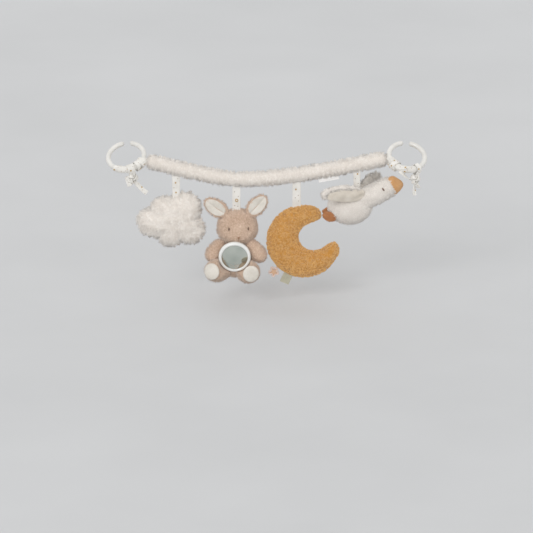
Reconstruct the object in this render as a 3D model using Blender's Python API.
"""A pram chain: a plush garland with a ring at each end and four stuffed toys on ribbons.

Metres, +Z up, +X to the right, the viewer at -Y. The origin is halfway between the two rings.
"""
import math

import bmesh
import bpy
from mathutils import Matrix, Vector
from mathutils.bvhtree import BVHTree

# Clearances
SEAT_GAP = 0.0003
RING_RUNNING_GAP = 0.0006
TURN_GAP = 0.0008
CUT_OVERRUN = 0.004

# Rings that close round the hood: open plastic rings that lean back
RING_SPACING = 0.438
RING_OUTER = 0.064
RING_BAR = 0.0078
RING_SNAP_GAP = 0.009
RING_LEAN = math.radians(59.0)
RING_YAW = math.radians(14.0)
RING_SNAP_ANGLE = math.radians(100.0)

# Garland: a plush sleeve over a tape core that sags between the rings
GARLAND_DIAMETER = 0.0190
GARLAND_BORE = 0.0112
GARLAND_LEFT_REACH = 0.1840
GARLAND_RIGHT_REACH = 0.1855
GARLAND_LOW_X = -0.0380
GARLAND_LOW_Z = -0.0314
GARLAND_LEFT_RISE = 0.0296
GARLAND_RIGHT_RISE = 0.0337
GARLAND_LEFT_BOW_SHARE = 3.2
GARLAND_RIGHT_BOW_SHARE = 2.2
LABEL_X = 0.0943
LABEL_WIDTH = 0.0320
LABEL_DROP = 0.0185
LABEL_THICKNESS = 0.0016

# Ties: cotton ribbon hitched round each ring
HITCH_ANGLE = math.radians(-30.0)
HITCH_HALF_ANGLE = math.radians(13.0)
HITCH_DIAMETER = 0.0170
WRAP_DIAMETER = 0.0122
LEFT_WRAP_ANGLE = math.radians(-62.0)
RIGHT_WRAP_ANGLE = math.radians(-112.0)
NECK_WIDTH = 0.0100
NECK_THICKNESS = 0.0080
KNOT_WIDTH = 0.0125
KNOT_HEIGHT = 0.0130
KNOT_DEPTH = 0.0100
KNOT_DROP = 0.0165
KNOT_NECK = 0.0060
TAIL_WIDTH = 0.0068
TAIL_THICKNESS = 0.0020
TAIL_LENGTH = 0.0335
TAIL_STUB_LENGTH = 0.0165
TAIL_STUB_WIDTH = 0.0080
LEFT_TAIL_LEAN_SHARES = (1.10, -0.75)
RIGHT_TAIL_LEAN_SHARES = (0.08, 0.55)

# Straps: ribbon loops that carry the toys
TOY_PITCH = 0.0940
STRAP_WIDTH = 0.0130
STRAP_THICKNESS = 0.0026

# Cloud: a scalloped cushion in two halves round a rattle
CLOUD_WIDTH = 0.1020
CLOUD_HANG = 0.0862
CLOUD_SIDE_SHIFT = -0.0080
CLOUD_DEPTH = 0.0440
CLOUD_LOBE_SHARES = (
    (-0.340, -0.054, 0.172),
    (-0.105, 0.139, 0.206),
    (0.217, 0.187, 0.235),
    (0.298, -0.151, 0.202),
    (0.020, -0.225, 0.190),
    (-0.180, -0.130, 0.170),
)
CLOUD_FULL_SHARE = 0.72
CLOUD_SIDES = 44
RATTLE_DIAMETER = 0.0260
RATTLE_WALL = 0.0015
RATTLE_BALL = 0.0064

# Bunny: head, body and limbs, all stuffed
BUNNY_HANG = 0.0777
HEAD_WIDTH = 0.0614
HEAD_DEPTH = 0.0480
HEAD_HEIGHT = 0.0540
BODY_WIDTH = 0.0540
BODY_DEPTH = 0.0440
BODY_HEIGHT = 0.0580
BODY_BELOW_CHIN = 0.0248
HEAD_SIDE_SHIFT = 0.0015
BODY_SIDE_SHIFT = -0.0042
ARM_SHOULDER = 0.0180
ARM_REACH = 0.0430
ARM_SIDE_SHIFT = 0.0027
ARM_WIDTH = 0.0225
ARM_TOP_RISE = 0.0278
ARM_TIP_RISE = 0.0018
ARM_FORWARD = 0.0140
LEG_WIDTH = 0.0300
LEG_HIP = 0.0140
LEG_LEFT_SPREAD = 0.0365
LEG_RIGHT_SPREAD = 0.0260
LEG_HIP_DROP = 0.0165
LEG_LEFT_TOE_DROP = 0.0085
LEG_RIGHT_TOE_DROP = 0.0125
LEG_FORWARD = 0.0440
LEG_HIP_FORWARD = 0.0020
PAD_WIDTH = 0.0250
PAD_DEPTH = 0.0100
EAR_LENGTH = 0.0410
EAR_WIDTH = 0.0260
EAR_THICKNESS = 0.0085
EAR_LEFT_RISE = math.radians(35.0)
EAR_RIGHT_RISE = math.radians(49.0)
EAR_SPLAY = 0.0175
EAR_FORWARD = 0.0050
EAR_ROOT = 0.0060
LINING_WIDTH = 0.0195
LINING_LENGTH = 0.0325
LINING_DEPTH = 0.0034
FACE_SIDE_SHIFT = 0.0020
EYE_WIDTH = 0.0032
EYE_HEIGHT = 0.0056
EYE_SPREAD = 0.0151
EYE_RISE = 0.0025
NOSE_WIDTH = 0.0048
NOSE_HEIGHT = 0.0036
NOSE_DROP_SHARE = 0.20
STITCH_DEPTH = 0.0040

# Safety mirror on the belly
MIRROR_DIAMETER = 0.0505
MIRROR_DEPTH = 0.0085
MIRROR_RISE = 0.0087
MIRROR_FORWARD = 0.0270
MIRROR_TILT = math.radians(8.0)
RIM_BORE = 0.0405
RIM_EDGE = 0.0016
RIM_REBATE = 0.0021
DISC_THICKNESS = 0.0015

# Moon: a crescent that opens up and to the right
MOON_DIAMETER = 0.1150
MOON_HANG = 0.1090
MOON_SIDE_SHIFT = 0.0112
MOON_HOLLOW_DIAMETER = 0.0490
MOON_HOLLOW_OFFSET = 0.0172
MOON_OPENING = math.radians(27.0)
MOON_HALF_MOUTH = math.radians(31.0)
MOON_DEPTH = 0.0380
MOON_TIP_TURN = math.radians(17.0)
STAR_ANGLE = math.radians(227.0)
STAR_SIZE = 0.0180
STAR_THICKNESS = 0.0032
STAR_WAIST_SHARE = 0.50
TAB_ANGLE = math.radians(246.0)
TAB_WIDTH = 0.0150
TAB_LENGTH = 0.0175
TAB_THICKNESS = 0.0026

# Goose: body, neck and head in one line, two wings and two feet
GOOSE_HANG = 0.0688
GOOSE_SIDE_SHIFT = -0.0110
GOOSE_WIDTH = 0.0680
GOOSE_HEIGHT = 0.0570
GOOSE_DEPTH = 0.0380
NECK_START_X = 0.0120
NECK_START_Z = 0.0060
NECK_END_X = 0.0680
NECK_END_Z = 0.0350
NECK_TUBE_WIDTH = 0.0325
NECK_TUBE_DEPTH = 0.0300
BEAK_LENGTH = 0.0340
BEAK_WIDTH = 0.0300
BEAK_DEPTH = 0.0200
BEAK_INSET = 0.0177
BEAK_UP = 0.0053
BEAK_RISE = math.radians(8.0)
GOOSE_EYE_LENGTH = 0.0062
GOOSE_EYE_WIDTH = 0.0022
GOOSE_EYE_BACK = 0.0157
GOOSE_EYE_UP = 0.0045
GOOSE_EYE_SLANT_SHARE = -0.10
WING_WIDTH = 0.0250
WING_THICKNESS = 0.0060
WING_TAPER_SHARE = -0.15
WING_ROOT_X = 0.0210
WING_ROOT_Z = 0.0225
WING_ROOT = 0.0064
NEAR_WING_REACH = 0.0620
NEAR_WING_OUT = 0.0255
NEAR_WING_RISE = 0.0065
FAR_WING_REACH = 0.0270
FAR_WING_OUT = 0.0460
FAR_WING_RISE = 0.0070
FOOT_LENGTH = 0.0240
FOOT_WIDTH = 0.0190
FOOT_THICKNESS = 0.0050
FOOT_RISE = math.radians(24.0)
FOOT_ROOT_X = 0.0200
FOOT_ROOT_Z = 0.0190
FOOT_OUT = 0.0085
FOOT_ROOT = 0.0050

# Evenness of the meshes
RING_STATIONS = 32
ROUND_SIDES = 12
FORM_SIDES = 16
FORM_STATIONS = 10
SMALL_SIDES = 8
SMALL_STATIONS = 6
GARLAND_STATIONS = 26
MOON_STATIONS = 28
SMOOTH_ANGLE = math.radians(40.0)

# Colours, as shares of full brightness on a screen
CREAM_SHARES = (0.87, 0.83, 0.79)
TAN_SHARES = (0.77, 0.67, 0.58)
MUSTARD_SHARES = (0.78, 0.60, 0.35)
BEAK_SHARES = (0.82, 0.63, 0.39)
FOOT_SHARES = (0.80, 0.51, 0.35)
RIBBON_SHARES = (0.91, 0.89, 0.86)
RING_SHARES = (0.89, 0.88, 0.85)
LINING_SHARES = (0.89, 0.86, 0.81)
SAGE_SHARES = (0.70, 0.71, 0.63)
PEACH_SHARES = (0.85, 0.72, 0.62)
STITCH_SHARES = (0.35, 0.25, 0.22)
MIRROR_SHARES = (0.80, 0.84, 0.83)
LABEL_SHARES = (0.94, 0.94, 0.93)
PLUSH_ROUGHNESS = 0.95
CLOTH_ROUGHNESS = 0.85
PLASTIC_ROUGHNESS = 0.30
MIRROR_ROUGHNESS = 0.04

LEFT = -1
RIGHT = 1
RING_MID_RADIUS = (RING_OUTER - RING_BAR) / 2


def clear_scene():
    """Remove every object that the scene starts with."""
    for thing in list(bpy.data.objects):
        bpy.data.objects.remove(thing, do_unlink=True)


def linear(share):
    """Turn a screen brightness share into a linear one."""
    return ((share + 0.055) / 1.055) ** 2.4 if share > 0.04045 else share / 12.92


def finish(thing, colour_shares, roughness, metallic=0.0):
    """Give an object its own plain material."""
    material = bpy.data.materials.new(thing.name + "_finish")
    material.use_nodes = True
    shader = material.node_tree.nodes["Principled BSDF"]
    red, green, blue = (linear(share) for share in colour_shares)
    shader.inputs["Base Color"].default_value = (red, green, blue, 1.0)
    shader.inputs["Roughness"].default_value = roughness
    shader.inputs["Metallic"].default_value = metallic
    thing.data.materials.clear()
    thing.data.materials.append(material)


def circle_section(sides):
    """A unit circle."""
    turns = [2 * math.pi * side / sides for side in range(sides)]
    return [(math.cos(turn), math.sin(turn)) for turn in turns]


def ribbon_section(edge_share=0.72, face_share=0.88):
    """A unit ribbon: a rectangle whose four corners are taken off."""
    corners = ((1, edge_share), (face_share, 1), (-face_share, 1), (-1, edge_share))
    return [*corners, *((-across, -deep) for across, deep in corners)]


def loft(name, loops, start_tip=None, end_tip=None):
    """Skin a row of loops; each end closes on a tip, or flat where it has none."""
    shape = bmesh.new()
    rows = [[shape.verts.new(point) for point in loop] for loop in loops]
    count = len(rows[0])
    for low, high in zip(rows, rows[1:]):
        for here in range(count):
            after = (here + 1) % count
            shape.faces.new((low[here], low[after], high[after], high[here]))
    for row, tip in ((rows[0], start_tip), (rows[-1], end_tip)):
        if tip is None:
            shape.faces.new(row)
            continue
        peak = shape.verts.new(tip)
        for here in range(count):
            shape.faces.new((row[here], row[(here + 1) % count], peak))
    return as_object(name, shape)


def as_object(name, shape):
    """Make an object of a closed shape, its faces turned outwards."""
    bmesh.ops.recalc_face_normals(shape, faces=shape.faces)
    mesh = bpy.data.meshes.new(name)
    shape.to_mesh(mesh)
    shape.free()
    mesh.shade_smooth()
    mesh.set_sharp_from_angle(angle=SMOOTH_ANGLE)
    thing = bpy.data.objects.new(name, mesh)
    bpy.context.scene.collection.objects.link(thing)
    return thing


def placed_section(middle, across, deep, section):
    """One loop: the section stretched along two directions about its middle."""
    return [middle + across * right + deep * up for right, up in section]


def pod(name, start, end, across, width, depth, taper_share=0.0, fullness=2.0,
        sides=FORM_SIDES, stations=FORM_STATIONS, grow=0.0):
    """A stuffed form: an oval carried from start to end that swells, tapers and closes."""
    along = (end - start).normalized()
    half_length = (end - start).length / 2 + grow
    middle = (start + end) / 2
    side = (across - along * across.dot(along)).normalized()
    deep = along.cross(side)
    loops = []
    for station in range(1, stations):
        reach = -math.cos(math.pi * station / stations)
        swell = (1 - abs(reach) ** fullness) ** (1 / fullness) * (1 + taper_share * reach)
        loops.append(placed_section(
            middle + along * half_length * reach,
            side * (width / 2 + grow) * swell,
            deep * (depth / 2 + grow) * swell,
            circle_section(sides)))
    return loft(name, loops, middle - along * half_length, middle + along * half_length)


def ball(name, middle, width, depth, height, sides=FORM_SIDES, stations=FORM_STATIONS, grow=0.0):
    """An upright stuffed ball with its own width, depth and height."""
    reach = Vector((0, 0, height / 2))
    return pod(name, middle - reach, middle + reach, Vector((1, 0, 0)), width, depth,
               sides=sides, stations=stations, grow=grow)


def ribbon(name, route, normal, width, thickness):
    """A flat ribbon along a route; the normal is the way that its faces look."""
    loops = []
    last = len(route) - 1
    for place, point in enumerate(route):
        along = (route[min(place + 1, last)] - route[max(place - 1, 0)]).normalized()
        side = along.cross(normal).normalized()
        face = side.cross(along).normalized()
        loops.append(placed_section(point, side * width / 2, face * thickness / 2,
                                    ribbon_section()))
    return loft(name, loops)


def turned(name, middle, axis, side, profile, sides=FORM_SIDES):
    """A turned form: each (radius, height) of the profile makes one loop round the axis."""
    other = axis.cross(side)
    return loft(name, [placed_section(middle + axis * height, side * radius, other * radius,
                                      circle_section(sides)) for radius, height in profile])


def combine(target, tool, operation):
    """Apply a Boolean of the tool to the target and take the tool away."""
    step = target.modifiers.new(operation.lower(), "BOOLEAN")
    step.operation = operation
    step.object = tool
    step.solver = "EXACT"
    bpy.context.view_layer.update()
    graph = bpy.context.evaluated_depsgraph_get()
    mesh = bpy.data.meshes.new_from_object(target.evaluated_get(graph))
    target.modifiers.clear()
    target.data = mesh
    mesh.shade_smooth()
    mesh.set_sharp_from_angle(angle=SMOOTH_ANGLE)
    bpy.data.objects.remove(tool, do_unlink=True)


def cut(target, tool):
    """Take the tool's space out of the target."""
    combine(target, tool, "DIFFERENCE")


def seat_place(solid, outside, aim, clearance):
    """Where a small ball of that radius rests on a solid, thrown from outside at the aim."""
    tree = BVHTree.FromPolygons([vertex.co for vertex in solid.data.vertices],
                                [face.vertices for face in solid.data.polygons])
    point, normal, _, _ = tree.ray_cast(outside, (aim - outside).normalized())
    bpy.data.objects.remove(solid, do_unlink=True)
    return point + normal * clearance


def slot_bar(name, pivot_place, way, across, length, width, thickness):
    """A flat tab whose rounded root is centred on its fold; across is the fold's direction."""
    radius = thickness / 2
    deep = across.cross(way)
    outline = []
    for reach, start in ((length - radius * 2, 90.0), (0, 270.0)):
        for step in range(SMALL_STATIONS + 1):
            turn = math.radians(start - 180.0 * step / SMALL_STATIONS)
            outline.append(pivot_place + way * (reach + radius * math.cos(turn))
                           + deep * radius * math.sin(turn))
    half = across * width / 2
    return loft(name, [[point - half for point in outline], [point + half for point in outline]])


def pivot(name, place, parent=None):
    """An empty on a joint's axis; what moves with the joint hangs on it."""
    empty = bpy.data.objects.new(name, None)
    empty.empty_display_size = GARLAND_DIAMETER
    bpy.context.scene.collection.objects.link(empty)
    empty.parent = parent
    empty.location = place - (world_place(parent) if parent else Vector((0, 0, 0)))
    return empty


def world_place(empty):
    """Where an empty stands in the world, added up along its parents."""
    place = empty.location.copy()
    while empty.parent:
        empty = empty.parent
        place += empty.location
    return place


def hang(things, empty):
    """Put objects on a pivot, so that their origins lie on its axis."""
    shift = Matrix.Translation(-world_place(empty))
    for thing in things:
        thing.data.transform(shift)
        thing.parent = empty


# Rings


def ring_point(side, angle, radius=RING_MID_RADIUS):
    """A point in a ring's plane; angle 0 looks towards the garland, 90 degrees up and back."""
    middle = Vector((side * RING_SPACING / 2, 0, 0))
    across = Vector((-side * math.cos(RING_YAW), -math.sin(RING_YAW), 0))
    up = Vector((-side * math.sin(RING_LEAN) * math.sin(RING_YAW),
                 math.sin(RING_LEAN) * math.cos(RING_YAW), math.cos(RING_LEAN)))
    return middle + (across * math.cos(angle) + up * math.sin(angle)) * radius


def ring_axis(side):
    """The direction that a ring turns about."""
    middle = ring_point(side, 0, 0)
    right = ring_point(side, 0) - middle
    return right.cross(ring_point(side, math.radians(90.0)) - middle).normalized()


def ring_bar_loop(side, angle, bar_radius, sides=ROUND_SIDES):
    """A loop round the ring's bar at one angle."""
    middle = ring_point(side, angle)
    outwards = (middle - ring_point(side, 0, 0)).normalized()
    return placed_section(middle, outwards * bar_radius, ring_axis(side) * bar_radius,
                          circle_section(sides))


def ring_sweep(name, side, first, last, stations, radius_at):
    """A round bar that follows the ring from one angle to another."""
    loops = []
    for station in range(stations + 1):
        share = station / stations
        angle = first + (last - first) * share
        loops.append(ring_bar_loop(side, angle, radius_at(share)))
    return loft(name, loops)


def make_ring(name, side):
    """An open ring with its snap gap up behind the hood's edge."""
    half_gap = math.asin(RING_SNAP_GAP / 2 / RING_MID_RADIUS)
    ring = ring_sweep(name, side, RING_SNAP_ANGLE + half_gap,
                      RING_SNAP_ANGLE + 2 * math.pi - half_gap, RING_STATIONS,
                      lambda share: RING_BAR / 2)
    finish(ring, RING_SHARES, PLASTIC_ROUGHNESS)
    return ring


# Garland

GARLAND_Y = ring_point(LEFT, HITCH_ANGLE).y


def bow(share, tightness):
    """A hyperbola from 0 to 1 that starts level; the tighter, the sooner it runs straight."""
    return (math.hypot(1, tightness * share) - 1) / (math.hypot(1, tightness) - 1)


def garland_point(x):
    """A point on the garland's middle line: two bows that meet at the lowest point."""
    if x < GARLAND_LOW_X:
        share = (GARLAND_LOW_X - x) / (GARLAND_LOW_X + GARLAND_LEFT_REACH)
        rise = GARLAND_LEFT_RISE * bow(share, GARLAND_LEFT_BOW_SHARE)
    else:
        share = (x - GARLAND_LOW_X) / (GARLAND_RIGHT_REACH - GARLAND_LOW_X)
        rise = GARLAND_RIGHT_RISE * bow(share, GARLAND_RIGHT_BOW_SHARE)
    return Vector((x, GARLAND_Y, GARLAND_LOW_Z + rise))


def garland_way(x):
    """The direction of the garland's middle line at a place, towards +X."""
    nudge = (GARLAND_LEFT_REACH + GARLAND_RIGHT_REACH) / GARLAND_STATIONS / 2
    before = garland_point(max(x - nudge, -GARLAND_LEFT_REACH))
    after = garland_point(min(x + nudge, GARLAND_RIGHT_REACH))
    return (after - before).normalized()


def garland_loops(radius, stations, sides):
    """Loops along the garland, square to its middle line."""
    loops = []
    span = GARLAND_LEFT_REACH + GARLAND_RIGHT_REACH
    for station in range(stations + 1):
        x = -GARLAND_LEFT_REACH + span * station / stations
        along = garland_way(x)
        away = Vector((0, 1, 0))
        loops.append(placed_section(garland_point(x), away * radius,
                                    along.cross(away) * radius, circle_section(sides)))
    return loops


def garland_solid(name, radius, sides=ROUND_SIDES):
    """A plain bar along the garland's whole line."""
    return loft(name, garland_loops(radius, GARLAND_STATIONS, sides))


def make_sleeve():
    """The plush sleeve, open at both ends, with its tape core inside."""
    shape = bmesh.new()
    walls = []
    for radius in (GARLAND_DIAMETER / 2, GARLAND_BORE / 2):
        loops = garland_loops(radius, GARLAND_STATIONS, ROUND_SIDES)
        walls.append([[shape.verts.new(point) for point in loop] for loop in loops])
    for rows in walls:
        for low, high in zip(rows, rows[1:]):
            for here in range(ROUND_SIDES):
                after = (here + 1) % ROUND_SIDES
                shape.faces.new((low[here], low[after], high[after], high[here]))
    for end in (0, -1):
        for here in range(ROUND_SIDES):
            after = (here + 1) % ROUND_SIDES
            outer, inner = walls[0][end], walls[1][end]
            shape.faces.new((outer[here], outer[after], inner[after], inner[here]))
    sleeve = as_object("garland_sleeve", shape)
    finish(sleeve, CREAM_SHARES, PLUSH_ROUGHNESS)
    core = garland_solid("garland_core", GARLAND_BORE / 2 - SEAT_GAP)
    finish(core, RIBBON_SHARES, CLOTH_ROUGHNESS)
    return sleeve, core


def make_label():
    """The bare folded label that hangs from the sleeve's seam."""
    half = Vector((LABEL_WIDTH / 2, 0, 0))
    slope = garland_point(LABEL_X + half.x) - garland_point(LABEL_X - half.x)
    down = slope.normalized().cross(Vector((0, 1, 0)))
    down = down if down.z < 0 else -down
    middle = garland_point(LABEL_X)
    label = ribbon("garland_label", [middle, middle + down * LABEL_DROP / 2,
                                     middle + down * LABEL_DROP],
                   Vector((0, 1, 0)), LABEL_WIDTH, LABEL_THICKNESS)
    cut(label, garland_solid("label_cutter", GARLAND_DIAMETER / 2 + SEAT_GAP))
    finish(label, LABEL_SHARES, CLOTH_ROUGHNESS)
    return label


# Ties


def tie_pivot_place(side):
    """The middle of a tie's rounded end, where the ribbon leaves the garland."""
    reach = GARLAND_LEFT_REACH if side == LEFT else GARLAND_RIGHT_REACH
    end = garland_point(side * reach)
    return end + garland_way(side * reach) * side * (NECK_WIDTH / 2 + SEAT_GAP)


def make_tie(name, side, wrap_angle):
    """The hitched ribbon: a hitch, the wrap that follows the ring, and the neck."""
    first = HITCH_ANGLE + HITCH_HALF_ANGLE
    hitch_share = 2 * HITCH_HALF_ANGLE / (first - wrap_angle)

    def ribbon_radius(share):
        swell = max(0.0, 1 - (share / hitch_share - 0.5) ** 2 * 2)
        return (WRAP_DIAMETER + (HITCH_DIAMETER - WRAP_DIAMETER) * swell) / 2

    tie = ring_sweep(name, side, first, wrap_angle, FORM_STATIONS, ribbon_radius)
    root = tie_pivot_place(side)
    hitch = ring_point(side, HITCH_ANGLE)
    combine(tie, ball("neck_end", root, NECK_WIDTH, NECK_WIDTH, NECK_WIDTH,
                      sides=SMALL_SIDES, stations=SMALL_STATIONS), "UNION")
    neck = pod("neck", root, hitch, Vector((0, 0, 1)), NECK_THICKNESS, NECK_THICKNESS,
               fullness=3.2, sides=SMALL_SIDES, stations=FORM_STATIONS)
    combine(tie, neck, "UNION")
    bore = ring_sweep("bore", side, first + CUT_OVERRUN / RING_MID_RADIUS,
                      wrap_angle - CUT_OVERRUN / RING_MID_RADIUS, FORM_STATIONS,
                      lambda share: RING_BAR / 2 + RING_RUNNING_GAP)
    cut(tie, bore)
    finish(tie, RIBBON_SHARES, CLOTH_ROUGHNESS)
    return tie


def knot_place(side, wrap_angle):
    """The middle of the hanging knot, straight below the end of the wrap."""
    angle = wrap_angle + TAIL_WIDTH / 2 / RING_MID_RADIUS
    return ring_point(side, angle) - Vector((0, 0, KNOT_DROP))


def tail_pivot_place(side, wrap_angle):
    """Where the hanging knot's neck swings, just under the wrap."""
    drop = WRAP_DIAMETER / 2 + SEAT_GAP + KNOT_NECK / 2
    return knot_place(side, wrap_angle) + Vector((0, 0, KNOT_DROP - drop))


def make_tails(name, side, wrap_angle, lean_shares):
    """The hanging overhand knot and the ribbon's two cut ends."""
    middle = knot_place(side, wrap_angle)
    tails = ball(name, middle, KNOT_WIDTH, KNOT_DEPTH, KNOT_HEIGHT, sides=ROUND_SIDES,
                 stations=SMALL_STATIONS + 2)
    top = tail_pivot_place(side, wrap_angle) + Vector((0, 0, KNOT_NECK / 2))
    neck = pod("knot_neck", top, middle, Vector((1, 0, 0)), KNOT_NECK, KNOT_NECK,
               fullness=2.6, sides=SMALL_SIDES, stations=SMALL_STATIONS)
    combine(tails, neck, "UNION")
    long_lean, stub_lean = lean_shares
    ends = ((long_lean, TAIL_LENGTH, TAIL_WIDTH), (stub_lean, TAIL_STUB_LENGTH, TAIL_STUB_WIDTH))
    for lean, length, width in ends:
        way = Vector((lean, 0, -1)).normalized()
        route = [middle, middle + way * length / 2, middle + way * length]
        end = ribbon("tail_end", route, Vector((0, 1, 0)), width, TAIL_THICKNESS)
        combine(tails, end, "UNION")
    finish(tails, RIBBON_SHARES, CLOTH_ROUGHNESS)
    return tails


# Straps


def strap_x(place):
    """The places of the four straps, numbered 0 to 3 from the left."""
    return TOY_PITCH * (place - 1.5)


def strap_top(place):
    """Where a strap's swing axis crosses the garland's middle line."""
    return garland_point(strap_x(place))


def strap_fold(place):
    """Where a strap folds, just under the sleeve's seam."""
    x = strap_x(place)
    drop = (GARLAND_DIAMETER / 2 + SEAT_GAP + STRAP_THICKNESS / 2) / garland_way(x).x
    return garland_point(x) - Vector((0, 0, drop))


def make_strap(name, place, foot_z, toy_room):
    """A doubled ribbon from the sleeve's seam to a toy, which has room to twist under it."""
    fold = strap_fold(place)
    strap = slot_bar(name, fold, Vector((0, 0, -1)), garland_way(strap_x(place)),
                     fold.z - foot_z, STRAP_WIDTH, STRAP_THICKNESS)
    cut(strap, toy_room)
    finish(strap, RIBBON_SHARES, CLOTH_ROUGHNESS)
    return strap


# Cloud


def cloud_middle():
    """The middle of the cloud cushion."""
    return strap_top(0) + Vector((CLOUD_SIDE_SHIFT, 0, -CLOUD_HANG))


def cloud_radius(angle):
    """How far the scalloped outline lies from the middle: the furthest lobe on that ray."""
    furthest = 0
    for across_share, up_share, radius_share in CLOUD_LOBE_SHARES:
        along = across_share * math.cos(angle) + up_share * math.sin(angle)
        aside = across_share * math.sin(angle) - up_share * math.cos(angle)
        if abs(aside) < radius_share:
            furthest = max(furthest, along + math.sqrt(radius_share ** 2 - aside ** 2))
    return furthest * CLOUD_WIDTH


def cloud_loop(side, turn, grow):
    """A loop of one half: turn 0 is the seam, 90 degrees the middle of its face."""
    height = side * (CLOUD_DEPTH / 2 + grow) * math.sin(turn)
    share = math.cos(turn) ** CLOUD_FULL_SHARE
    loop = []
    for corner in range(CLOUD_SIDES):
        angle = 2 * math.pi * corner / CLOUD_SIDES
        radius = (cloud_radius(angle) + grow) * share
        loop.append(cloud_middle() + moon_way(angle) * radius + Vector((0, height, 0)))
    return loop


def cloud_solid(name, grow=0.0):
    """The whole cushion: loops from the front's middle over the seam to the back's."""
    step = math.radians(90.0) / SMALL_STATIONS
    loops = [cloud_loop(RIGHT, station * step, grow)
             for station in range(1 - SMALL_STATIONS, SMALL_STATIONS)]
    reach = Vector((0, CLOUD_DEPTH / 2 + grow, 0))
    return loft(name, loops, cloud_middle() - reach, cloud_middle() + reach)


def make_cloud_half(name, side):
    """The front (-1) or back (1) half of the cushion, hollowed for the rattle."""
    step = math.radians(90.0) / SMALL_STATIONS
    inset = Vector((0, side * SEAT_GAP / 2, 0))
    loops = [[point + inset for point in cloud_loop(side, station * step, 0)]
             for station in range(SMALL_STATIONS)]
    middle = cloud_middle()
    half = loft(name, loops, None, middle + inset + Vector((0, side * CLOUD_DEPTH / 2, 0)))
    reach_out = Vector((0, RATTLE_DIAMETER / 2, 0))
    cut(half, pod("rattle_room", middle - reach_out, middle + reach_out, Vector((1, 0, 0)),
                  RATTLE_DIAMETER, RATTLE_DIAMETER, sides=ROUND_SIDES,
                  stations=2 * SMALL_STATIONS, grow=SEAT_GAP))
    finish(half, CREAM_SHARES, PLUSH_ROUGHNESS)
    return half


def make_rattle_half(name, side):
    """Half of the rattle's ball-shaped case, as a bowl with its mouth on the parting line."""
    middle = cloud_middle()
    outer = RATTLE_DIAMETER / 2
    inner = outer - RATTLE_WALL
    shape = bmesh.new()
    walls = []
    for radius in (outer, inner):
        rows = []
        for station in range(SMALL_STATIONS):
            turn = math.radians(90.0) * station / SMALL_STATIONS
            height = side * (radius * math.sin(turn) + SEAT_GAP / 2)
            rows.append([shape.verts.new(point) for point in placed_section(
                middle + Vector((0, height, 0)),
                Vector((radius * math.cos(turn), 0, 0)),
                Vector((0, 0, radius * math.cos(turn))),
                circle_section(ROUND_SIDES))])
        peak = shape.verts.new(middle + Vector((0, side * (radius + SEAT_GAP / 2), 0)))
        walls.append((rows, peak))
    for rows, peak in walls:
        for here in range(ROUND_SIDES):
            after = (here + 1) % ROUND_SIDES
            for low, high in zip(rows, rows[1:]):
                shape.faces.new((low[here], low[after], high[after], high[here]))
            shape.faces.new((rows[-1][here], rows[-1][after], peak))
    for here in range(ROUND_SIDES):
        after = (here + 1) % ROUND_SIDES
        outer_rim, inner_rim = walls[0][0][0], walls[1][0][0]
        shape.faces.new((outer_rim[here], outer_rim[after], inner_rim[after], inner_rim[here]))
    case = as_object(name, shape)
    finish(case, RING_SHARES, PLASTIC_ROUGHNESS)
    return case


def make_rattle_ball(name, place):
    """One loose ball, lying low in the case; place is -1, 0 or 1."""
    reach = RATTLE_DIAMETER / 2 - RATTLE_WALL - RATTLE_BALL / 2 - 2 * SEAT_GAP
    turn = 2 * math.asin((RATTLE_BALL / 2 + SEAT_GAP) / reach) * place
    middle = cloud_middle() + Vector((math.sin(turn), 0, -math.cos(turn))) * reach
    rattle = ball(name, middle, RATTLE_BALL, RATTLE_BALL, RATTLE_BALL,
                  sides=SMALL_SIDES, stations=SMALL_STATIONS)
    finish(rattle, RING_SHARES, PLASTIC_ROUGHNESS)
    return rattle


# Bunny


def head_middle():
    """The middle of the bunny's head."""
    return strap_top(1) + Vector((HEAD_SIDE_SHIFT, 0, -BUNNY_HANG))


def head_solid(name, grow=0.0):
    """The head: a wide stuffed ball."""
    return ball(name, head_middle(), HEAD_WIDTH, HEAD_DEPTH, HEAD_HEIGHT,
                sides=FORM_SIDES + FORM_SIDES // 2, stations=FORM_STATIONS, grow=grow)


def body_middle():
    """The middle of the bunny's body, measured down from the head's lowest point."""
    drop = HEAD_HEIGHT / 2 + BODY_BELOW_CHIN
    return head_middle() + Vector((BODY_SIDE_SHIFT, 0, -drop))


def body_solid(name, grow=0.0):
    """The body: a pear, fuller towards the bottom."""
    reach = Vector((0, 0, BODY_HEIGHT / 2))
    return pod(name, body_middle() + reach, body_middle() - reach, Vector((1, 0, 0)),
               BODY_WIDTH, BODY_DEPTH, taper_share=0.10, grow=grow)


def make_head():
    """The bunny's head."""
    head = head_solid("bunny_head")
    finish(head, TAN_SHARES, PLUSH_ROUGHNESS)
    return head


def make_body():
    """The bunny's body, cut where the head sits on it."""
    body = body_solid("bunny_body")
    cut(body, head_solid("head_room", SEAT_GAP))
    finish(body, TAN_SHARES, PLUSH_ROUGHNESS)
    return body


def make_arm(name, side):
    """An arm that hugs the mirror, fuller at the paw."""
    middle = body_middle()
    shoulder = middle + Vector((side * ARM_SHOULDER, 0, ARM_TOP_RISE))
    paw = middle + Vector((side * ARM_REACH + ARM_SIDE_SHIFT, -ARM_FORWARD, ARM_TIP_RISE))
    arm = pod(name, shoulder, paw, Vector((0, 0, 1)), ARM_WIDTH, ARM_WIDTH, taper_share=0.12,
              sides=ROUND_SIDES, stations=SMALL_STATIONS + SMALL_STATIONS // 2)
    cut(arm, body_solid("body_room", SEAT_GAP))
    cut(arm, head_solid("head_room", SEAT_GAP))
    cut(arm, leg_solid("leg_room", side, SEAT_GAP))
    cut(arm, mirror_solid("mirror_room"))
    finish(arm, TAN_SHARES, PLUSH_ROUGHNESS)
    return arm


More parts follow.
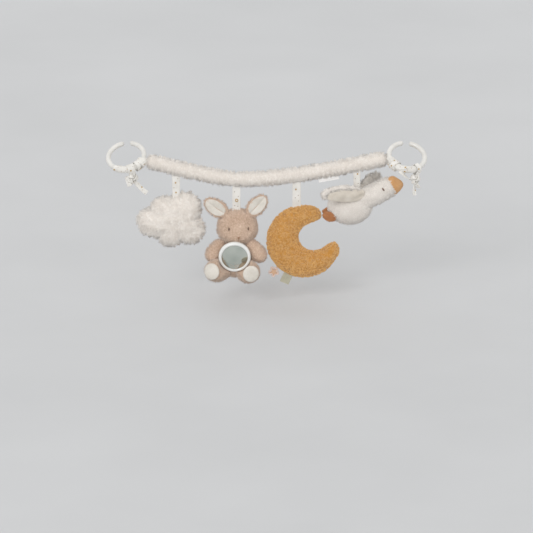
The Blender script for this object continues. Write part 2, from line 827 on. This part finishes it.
def leg_ends(side):
    """The hip and the toe of a leg."""
    spread = LEG_LEFT_SPREAD if side == LEFT else LEG_RIGHT_SPREAD
    toe_drop = LEG_LEFT_TOE_DROP if side == LEFT else LEG_RIGHT_TOE_DROP
    middle = body_middle()
    hip = middle + Vector((side * LEG_HIP, -LEG_HIP_FORWARD, -LEG_HIP_DROP))
    toe = middle + Vector((side * spread, -LEG_FORWARD, -toe_drop))
    return hip, toe


def leg_solid(name, side, grow=0.0):
    """A leg that sticks out forwards, fullest at the foot."""
    hip, toe = leg_ends(side)
    return pod(name, hip, toe, Vector((0, 0, 1)), LEG_WIDTH, LEG_WIDTH, taper_share=0.10,
               fullness=2.4, stations=FORM_STATIONS - 2, grow=grow)


def make_leg(name, side):
    """A leg, cut where it is sewn to the body."""
    leg = leg_solid(name, side)
    cut(leg, body_solid("body_room", SEAT_GAP))
    cut(leg, mirror_solid("mirror_room"))
    finish(leg, TAN_SHARES, PLUSH_ROUGHNESS)
    return leg


def make_foot_pad(name, side):
    """The cream sole on the front of a foot."""
    hip, toe = leg_ends(side)
    along = (toe - hip).normalized()
    reach = along * PAD_DEPTH / 2
    pad = pod(name, toe - reach, toe + along * SEAT_GAP * 2 + along * STITCH_DEPTH / 2,
              Vector((0, 0, 1)), PAD_WIDTH, PAD_WIDTH, fullness=2.6,
              sides=FORM_SIDES, stations=SMALL_STATIONS + 2)
    cut(pad, leg_solid("leg_room", side, SEAT_GAP))
    finish(pad, LINING_SHARES, PLUSH_ROUGHNESS)
    return pad


def ear_way(side):
    """The direction that an ear points in."""
    rise = EAR_LEFT_RISE if side == LEFT else EAR_RIGHT_RISE
    return Vector((side * math.cos(rise), 0, math.sin(rise)))


def ear_pivot_place(side):
    """The middle of the ear's round root, which rests on the head at the ear's splay."""
    aim = head_middle() + Vector((side * EAR_SPLAY, -EAR_FORWARD, 0))
    return seat_place(head_solid("head_seat"), aim + Vector((0, 0, HEAD_HEIGHT)), aim,
                      EAR_ROOT / 2 + SEAT_GAP)


def ear_solid(name, side, grow=0.0):
    """An ear: a flat stuffed leaf on a round root."""
    fold = ear_pivot_place(side)
    way = ear_way(side)
    start = fold - way * EAR_ROOT / 2
    across = way.cross(Vector((0, 1, 0)))
    leaf = pod(name, start, start + way * EAR_LENGTH, across, EAR_WIDTH, EAR_THICKNESS,
               taper_share=-0.08, sides=ROUND_SIDES, grow=grow)
    root = ball("ear_root", fold, EAR_ROOT, EAR_ROOT, EAR_ROOT, sides=SMALL_SIDES,
                stations=SMALL_STATIONS, grow=grow)
    combine(leaf, root, "UNION")
    return leaf


def make_ear(name, side):
    """An ear, clear of the head."""
    ear = ear_solid(name, side)
    cut(ear, head_solid("head_room", SEAT_GAP))
    finish(ear, TAN_SHARES, PLUSH_ROUGHNESS)
    return ear


def make_ear_lining(name, side):
    """The smooth leaf on the front of an ear."""
    way = ear_way(side)
    start = ear_pivot_place(side) - way * EAR_ROOT / 2
    middle = start + way * (EAR_LENGTH / 2) - Vector((0, EAR_THICKNESS / 2, 0))
    reach = way * LINING_LENGTH / 2
    lining = pod(name, middle - reach, middle + reach, way.cross(Vector((0, 1, 0))),
                 LINING_WIDTH, LINING_DEPTH, sides=ROUND_SIDES, stations=FORM_STATIONS)
    cut(lining, ear_solid("ear_room", side, SEAT_GAP))
    finish(lining, LINING_SHARES, CLOTH_ROUGHNESS)
    return lining


def head_front(across, drop):
    """The point on the head's front surface at a place seen from the front."""
    across_share = across / (HEAD_WIDTH / 2)
    drop_share = drop / (HEAD_HEIGHT / 2)
    forward = HEAD_DEPTH / 2 * math.sqrt(1 - across_share ** 2 - drop_share ** 2)
    return head_middle() + Vector((across, -forward, -drop))


def make_face_stitch(name, across, drop, width, height):
    """An embroidered eye or nose: a small raised oval on the head."""
    stitch = ball(name, head_front(across, drop), width, STITCH_DEPTH, height,
                  sides=SMALL_SIDES, stations=SMALL_STATIONS)
    cut(stitch, head_solid("head_room", SEAT_GAP))
    finish(stitch, STITCH_SHARES, CLOTH_ROUGHNESS)
    return stitch


def mirror_frame():
    """The mirror's front middle and the way that it looks: forwards and a little down."""
    middle = body_middle() + Vector((0, -MIRROR_FORWARD, MIRROR_RISE))
    out = Vector((0, -math.cos(MIRROR_TILT), -math.sin(MIRROR_TILT)))
    return middle, out


def mirror_solid(name):
    """The room that the mirror takes among the soft limbs."""
    middle, out = mirror_frame()
    radius = MIRROR_DIAMETER / 2 + SEAT_GAP
    profile = ((radius, -MIRROR_DEPTH - SEAT_GAP), (radius, SEAT_GAP))
    return turned(name, middle, out, Vector((1, 0, 0)), profile, sides=FORM_SIDES * 2)


def make_mirror_rim():
    """The rounded rim, with a rebate for the disc and a back that fits the belly."""
    middle, out = mirror_frame()
    outer, bore = MIRROR_DIAMETER / 2, RIM_BORE / 2
    profile = (
        (outer - RIM_EDGE, -MIRROR_DEPTH),
        (outer, RIM_EDGE - MIRROR_DEPTH),
        (outer, -RIM_EDGE),
        (outer - RIM_EDGE / 2, -RIM_EDGE / 3),
        (outer - RIM_EDGE * 2, 0),
        (bore + RIM_EDGE, 0),
        (bore, -RIM_EDGE / 2),
        (bore, -RIM_REBATE),
    )
    rim = turned("mirror_rim", middle, out, Vector((1, 0, 0)), profile, sides=FORM_SIDES * 2)
    cut(rim, body_solid("body_room", SEAT_GAP))
    cut(rim, head_solid("head_room", SEAT_GAP))
    finish(rim, LABEL_SHARES, PLASTIC_ROUGHNESS)
    return rim


def make_mirror_disc():
    """The mirrored disc in the rim's rebate."""
    middle, out = mirror_frame()
    radius = RIM_BORE / 2 - SEAT_GAP
    low = SEAT_GAP - RIM_REBATE
    profile = ((radius, low), (radius, low + DISC_THICKNESS))
    disc = turned("mirror_disc", middle, out, Vector((1, 0, 0)), profile, sides=FORM_SIDES * 2)
    finish(disc, MIRROR_SHARES, MIRROR_ROUGHNESS, metallic=1.0)
    return disc


# Moon


def moon_middle():
    """The middle of the moon's outer circle."""
    return strap_top(2) + Vector((MOON_SIDE_SHIFT, 0, -MOON_HANG))


def moon_way(angle):
    """A direction in the moon's plane; 0 looks along +X and 90 degrees up."""
    return Vector((math.cos(angle), 0, math.sin(angle)))


def moon_solid(name, grow=0.0):
    """The crescent: an oval carried round between the outer circle and the hollow's circle."""
    outer = MOON_DIAMETER / 2
    hollow = MOON_HOLLOW_DIAMETER / 2
    full_half_width = (outer - hollow + MOON_HOLLOW_OFFSET) / 2
    first = MOON_OPENING + MOON_HALF_MOUTH
    sweep = 2 * (math.pi - MOON_HALF_MOUTH)
    loops = []
    for station in range(1, MOON_STATIONS):
        turn = sweep * (1 - math.cos(math.pi * station / MOON_STATIONS)) / 2
        angle = first + turn
        from_opening = angle - MOON_OPENING
        slant = MOON_HOLLOW_OFFSET * math.sin(from_opening)
        inner = MOON_HOLLOW_OFFSET * math.cos(from_opening) + math.sqrt(hollow ** 2 - slant ** 2)
        to_tip = min(turn, sweep - turn) / MOON_TIP_TURN
        tip = math.sqrt(1 - (1 - to_tip) ** 2) if to_tip < 1 else 1
        half_width = (outer - inner) / 2 * tip
        half_depth = MOON_DEPTH / 2 * math.sqrt((outer - inner) / 2 / full_half_width) * tip
        way = moon_way(angle)
        loops.append(placed_section(moon_middle() + way * (outer + inner) / 2,
                                    way * (half_width + grow),
                                    Vector((0, half_depth + grow, 0)),
                                    circle_section(FORM_SIDES)))
    tips = []
    for angle, back in ((first, -1), (first + sweep, 1)):
        slant = MOON_HOLLOW_OFFSET * math.sin(angle - MOON_OPENING)
        inner = MOON_HOLLOW_OFFSET * math.cos(MOON_HALF_MOUTH) + math.sqrt(
            hollow ** 2 - slant ** 2)
        onwards = Vector((-math.sin(angle), 0, math.cos(angle))) * back * grow
        tips.append(moon_middle() + moon_way(angle) * (outer + inner) / 2 + onwards)
    return loft(name, loops, *tips)


def make_moon():
    """The moon's stuffed body."""
    moon = moon_solid("moon_body")
    finish(moon, MUSTARD_SHARES, PLUSH_ROUGHNESS)
    return moon


def trim_pivot_place(angle, thickness):
    """Where a tag's rounded root folds at the moon's seam."""
    radius = MOON_DIAMETER / 2 + SEAT_GAP + thickness / 2
    return moon_middle() + moon_way(angle) * radius


def make_star():
    """The five-pointed felt tag, hung by one point from the moon's seam."""
    way = moon_way(STAR_ANGLE)
    fold = trim_pivot_place(STAR_ANGLE, STAR_THICKNESS)
    middle = fold + way * STAR_SIZE / 2
    half = Vector((0, STAR_THICKNESS / 2, 0))
    outline = []
    for corner in range(10):
        angle = STAR_ANGLE + math.pi + math.pi * corner / 5
        radius = STAR_SIZE / 2 * (STAR_WAIST_SHARE if corner % 2 else 1)
        outline.append(middle + moon_way(angle) * radius)
    loops = [[point - half for point in outline], [point + half for point in outline]]
    star = loft("moon_star", loops)
    combine(star, ball("star_root", fold, STAR_THICKNESS, STAR_THICKNESS, STAR_THICKNESS,
                       sides=SMALL_SIDES, stations=SMALL_STATIONS), "UNION")
    finish(star, PEACH_SHARES, CLOTH_ROUGHNESS)
    return star


def make_tab():
    """The folded ribbon tab in the moon's seam."""
    way = moon_way(TAB_ANGLE)
    fold = trim_pivot_place(TAB_ANGLE, TAB_THICKNESS)
    tab = slot_bar("moon_tab", fold, way, way.cross(Vector((0, 1, 0))),
                   TAB_LENGTH, TAB_WIDTH, TAB_THICKNESS)
    finish(tab, SAGE_SHARES, CLOTH_ROUGHNESS)
    return tab


# Goose


def goose_middle():
    """The middle of the goose's body."""
    return strap_top(3) + Vector((GOOSE_SIDE_SHIFT, 0, -GOOSE_HANG))


def goose_solid(name, grow=0.0):
    """The body: a bowl-bottomed egg."""
    return ball(name, goose_middle(), GOOSE_WIDTH, GOOSE_DEPTH, GOOSE_HEIGHT,
                sides=FORM_SIDES + FORM_SIDES // 2, grow=grow)


def neck_ends():
    """Where the neck starts inside the body and where the head ends."""
    middle = goose_middle()
    return (middle + Vector((NECK_START_X, 0, NECK_START_Z)),
            middle + Vector((NECK_END_X, 0, NECK_END_Z)))


def neck_up():
    """The upward direction square to the neck."""
    start, end = neck_ends()
    along = (end - start).normalized()
    return along.cross(Vector((0, 1, 0)))


def neck_solid(name, grow=0.0):
    """The neck and head: one thick round-ended tube."""
    start, end = neck_ends()
    return pod(name, start, end, Vector((0, 0, 1)), NECK_TUBE_WIDTH, NECK_TUBE_DEPTH,
               fullness=2.8, grow=grow)


def make_goose_body():
    """The goose's stuffed body."""
    body = goose_solid("goose_body")
    finish(body, CREAM_SHARES, PLUSH_ROUGHNESS)
    return body


def make_neck():
    """The neck and head, cut where they are sewn to the body."""
    neck = neck_solid("goose_head")
    cut(neck, goose_solid("goose_room", SEAT_GAP))
    finish(neck, CREAM_SHARES, PLUSH_ROUGHNESS)
    return neck


def make_beak():
    """The beak: a soft rounded cone on the end of the head."""
    start, end = neck_ends()
    along = (end - start).normalized()
    up = neck_up()
    root = end - along * BEAK_INSET + up * BEAK_UP
    way = Vector((math.cos(BEAK_RISE), 0, math.sin(BEAK_RISE)))
    beak = pod("goose_beak", root, root + way * BEAK_LENGTH, Vector((0, 0, 1)),
               BEAK_WIDTH, BEAK_DEPTH, taper_share=-0.30, fullness=1.8)
    cut(beak, neck_solid("neck_room", SEAT_GAP))
    finish(beak, BEAK_SHARES, CLOTH_ROUGHNESS)
    return beak


def make_goose_eye(name, side):
    """A slanted stitched eye on one cheek; side -1 is the near cheek."""
    start, end = neck_ends()
    along = (end - start).normalized()
    up = neck_up()
    middle = end - along * GOOSE_EYE_BACK + up * GOOSE_EYE_UP
    middle.y += side * NECK_TUBE_DEPTH / 2
    reach = (up + along * GOOSE_EYE_SLANT_SHARE).normalized() * GOOSE_EYE_LENGTH / 2
    eye = pod(name, middle - reach, middle + reach, along, GOOSE_EYE_WIDTH, STITCH_DEPTH,
              sides=SMALL_SIDES, stations=SMALL_STATIONS)
    cut(eye, neck_solid("neck_room", SEAT_GAP))
    finish(eye, STITCH_SHARES, CLOTH_ROUGHNESS)
    return eye


def goose_room(name, grow=SEAT_GAP):
    """The body with the neck and head, for what seats on them."""
    room = goose_solid(name, grow)
    combine(room, neck_solid("neck_room", grow), "UNION")
    return room


def wing_pivot_place(side):
    """The middle of the wing's round root on the shoulder; side -1 is the near wing."""
    aim = goose_middle() + Vector((WING_ROOT_X, 0, WING_ROOT_Z))
    return seat_place(goose_room("shoulder_seat", 0), aim + Vector((0, side * GOOSE_WIDTH, 0)),
                      aim, WING_ROOT / 2 + SEAT_GAP)


def wing_way(side):
    """The direction from a wing's root to its tip."""
    if side == LEFT:
        return Vector((-NEAR_WING_REACH, -NEAR_WING_OUT, NEAR_WING_RISE))
    return Vector((FAR_WING_REACH, FAR_WING_OUT, FAR_WING_RISE))


def wing_axis(side):
    """The wing's flap axis: upright, square to the wing's length."""
    along = wing_way(side).normalized()
    up = Vector((0, 0, 1))
    return (up - along * up.dot(along)).normalized()


def make_wing(name, side):
    """A flat padded wing on a round root, clear of the body."""
    fold = wing_pivot_place(side)
    start = fold - wing_way(side).normalized() * WING_ROOT / 2
    wing = pod(name, start, fold + wing_way(side), wing_axis(side), WING_WIDTH, WING_THICKNESS,
               taper_share=WING_TAPER_SHARE, fullness=2.3)
    combine(wing, ball("wing_root", fold, WING_ROOT, WING_ROOT, WING_ROOT, sides=SMALL_SIDES,
                       stations=SMALL_STATIONS), "UNION")
    cut(wing, goose_room("goose_room"))
    finish(wing, CREAM_SHARES, PLUSH_ROUGHNESS)
    return wing


def foot_way():
    """The direction from a foot's root to its toes."""
    return Vector((-math.cos(FOOT_RISE), 0, math.sin(FOOT_RISE)))


def foot_pivot_place(side):
    """The middle of the foot's round root under the body; side -1 is the near foot."""
    aim = goose_middle() + Vector((0, side * FOOT_OUT, 0))
    outside = aim - Vector((FOOT_ROOT_X, 0, FOOT_ROOT_Z)) * 2
    return seat_place(goose_solid("foot_seat"), outside, aim, FOOT_ROOT / 2 + SEAT_GAP)


def make_foot(name, side):
    """A flat webbed foot that widens to its toes."""
    fold = foot_pivot_place(side)
    start = fold - foot_way() * FOOT_ROOT / 2
    foot = pod(name, start, start + foot_way() * FOOT_LENGTH, foot_way().cross(Vector((0, 1, 0))),
               FOOT_WIDTH, FOOT_THICKNESS, taper_share=0.35, fullness=2.4, sides=ROUND_SIDES,
               stations=FORM_STATIONS - 2)
    combine(foot, ball("foot_root", fold, FOOT_ROOT, FOOT_ROOT, FOOT_ROOT, sides=SMALL_SIDES,
                       stations=SMALL_STATIONS), "UNION")
    cut(foot, goose_solid("goose_room", TURN_GAP))
    finish(foot, FOOT_SHARES, CLOTH_ROUGHNESS)
    return foot


# Assembly


def build_ends():
    """Rings, ties and hanging knots at both ends."""
    for side, word, wrap_angle, lean_shares in (
            (LEFT, "left", LEFT_WRAP_ANGLE, LEFT_TAIL_LEAN_SHARES),
            (RIGHT, "right", RIGHT_WRAP_ANGLE, RIGHT_TAIL_LEAN_SHARES)):
        tie_empty = pivot(word + "_tie_pivot", tie_pivot_place(side))
        hang([make_tie(word + "_tie", side, wrap_angle)], tie_empty)
        ring_empty = pivot(word + "_ring_pivot", ring_point(side, 0, 0), tie_empty)
        hang([make_ring(word + "_ring", side)], ring_empty)
        tail_empty = pivot(word + "_tail_pivot", tail_pivot_place(side, wrap_angle), tie_empty)
        hang([make_tails(word + "_tie_tails", side, wrap_angle, lean_shares)], tail_empty)


def strap_and_twist(name, place, top_z, toy_room):
    """A strap on its swing pivot, and the pivot on which its toy twists."""
    swing = pivot(name + "_swing_pivot", strap_fold(place))
    hang([make_strap(name + "_strap", place, top_z, toy_room)], swing)
    return pivot(name + "_twist_pivot", strap_fold(place), swing)


def build_cloud():
    """The cloud with its strap and rattle."""
    foot = cloud_middle().z
    twist = strap_and_twist("cloud", 0, foot, cloud_solid("cloud_room", TURN_GAP))
    pieces = []
    for side, word in ((LEFT, "front"), (RIGHT, "back")):
        pieces.append(make_cloud_half("cloud_" + word, side))
        pieces.append(make_rattle_half("rattle_case_" + word, side))
    pieces += [make_rattle_ball("rattle_ball_" + str(place + 2), place) for place in (-1, 0, 1)]
    hang(pieces, twist)


def build_bunny():
    """The bunny with its strap, mirror and ears."""
    foot = head_middle().z
    twist = strap_and_twist("bunny", 1, foot, head_solid("head_room", TURN_GAP))
    pieces = [
        make_head(),
        make_body(),
        make_mirror_rim(),
        make_mirror_disc(),
        make_face_stitch("bunny_left_eye", FACE_SIDE_SHIFT - EYE_SPREAD, -EYE_RISE, EYE_WIDTH,
                         EYE_HEIGHT),
        make_face_stitch("bunny_right_eye", FACE_SIDE_SHIFT + EYE_SPREAD, -EYE_RISE, EYE_WIDTH,
                         EYE_HEIGHT),
        make_face_stitch("bunny_nose", FACE_SIDE_SHIFT, HEAD_HEIGHT * NOSE_DROP_SHARE, NOSE_WIDTH,
                         NOSE_HEIGHT),
    ]
    for side, word in ((LEFT, "left"), (RIGHT, "right")):
        pieces.append(make_arm("bunny_" + word + "_arm", side))
        pieces.append(make_leg("bunny_" + word + "_leg", side))
        pieces.append(make_foot_pad("bunny_" + word + "_foot_pad", side))
        ear = pivot("bunny_" + word + "_ear_pivot", ear_pivot_place(side), twist)
        hang([make_ear("bunny_" + word + "_ear", side),
              make_ear_lining("bunny_" + word + "_ear_lining", side)], ear)
    hang(pieces, twist)


def build_moon():
    """The moon with its strap, star and tab."""
    foot = moon_middle().z + MOON_DIAMETER / 2 - CUT_OVERRUN * 2
    twist = strap_and_twist("moon", 2, foot, moon_solid("moon_room", TURN_GAP))
    hang([make_moon()], twist)
    star_fold = trim_pivot_place(STAR_ANGLE, STAR_THICKNESS)
    hang([make_star()], pivot("moon_star_pivot", star_fold, twist))
    tab_fold = trim_pivot_place(TAB_ANGLE, TAB_THICKNESS)
    hang([make_tab()], pivot("moon_tab_pivot", tab_fold, twist))


def build_goose():
    """The goose with its strap, wings and feet."""
    foot = goose_middle().z + GOOSE_HEIGHT / 2 - CUT_OVERRUN * 2
    twist = strap_and_twist("goose", 3, foot, goose_room("goose_room", TURN_GAP))
    hang([make_goose_body(), make_neck(), make_beak(),
          make_goose_eye("goose_near_eye", LEFT), make_goose_eye("goose_far_eye", RIGHT)], twist)
    for side, word in ((LEFT, "near"), (RIGHT, "far")):
        wing = pivot("goose_" + word + "_wing_pivot", wing_pivot_place(side), twist)
        hang([make_wing("goose_" + word + "_wing", side)], wing)
        foot_empty = pivot("goose_" + word + "_foot_pivot", foot_pivot_place(side), twist)
        hang([make_foot("goose_" + word + "_foot", side)], foot_empty)


def report_pivots():
    """Print where every joint's pivot stands, in metres."""
    for thing in bpy.data.objects:
        if thing.type == "EMPTY":
            place = world_place(thing)
            print(thing.name, tuple(round(value, 6) for value in place))


def main():
    """Build the whole pram chain."""
    clear_scene()
    make_sleeve()
    make_label()
    build_ends()
    build_cloud()
    build_bunny()
    build_moon()
    build_goose()
    bpy.context.view_layer.update()
    report_pivots()


main()
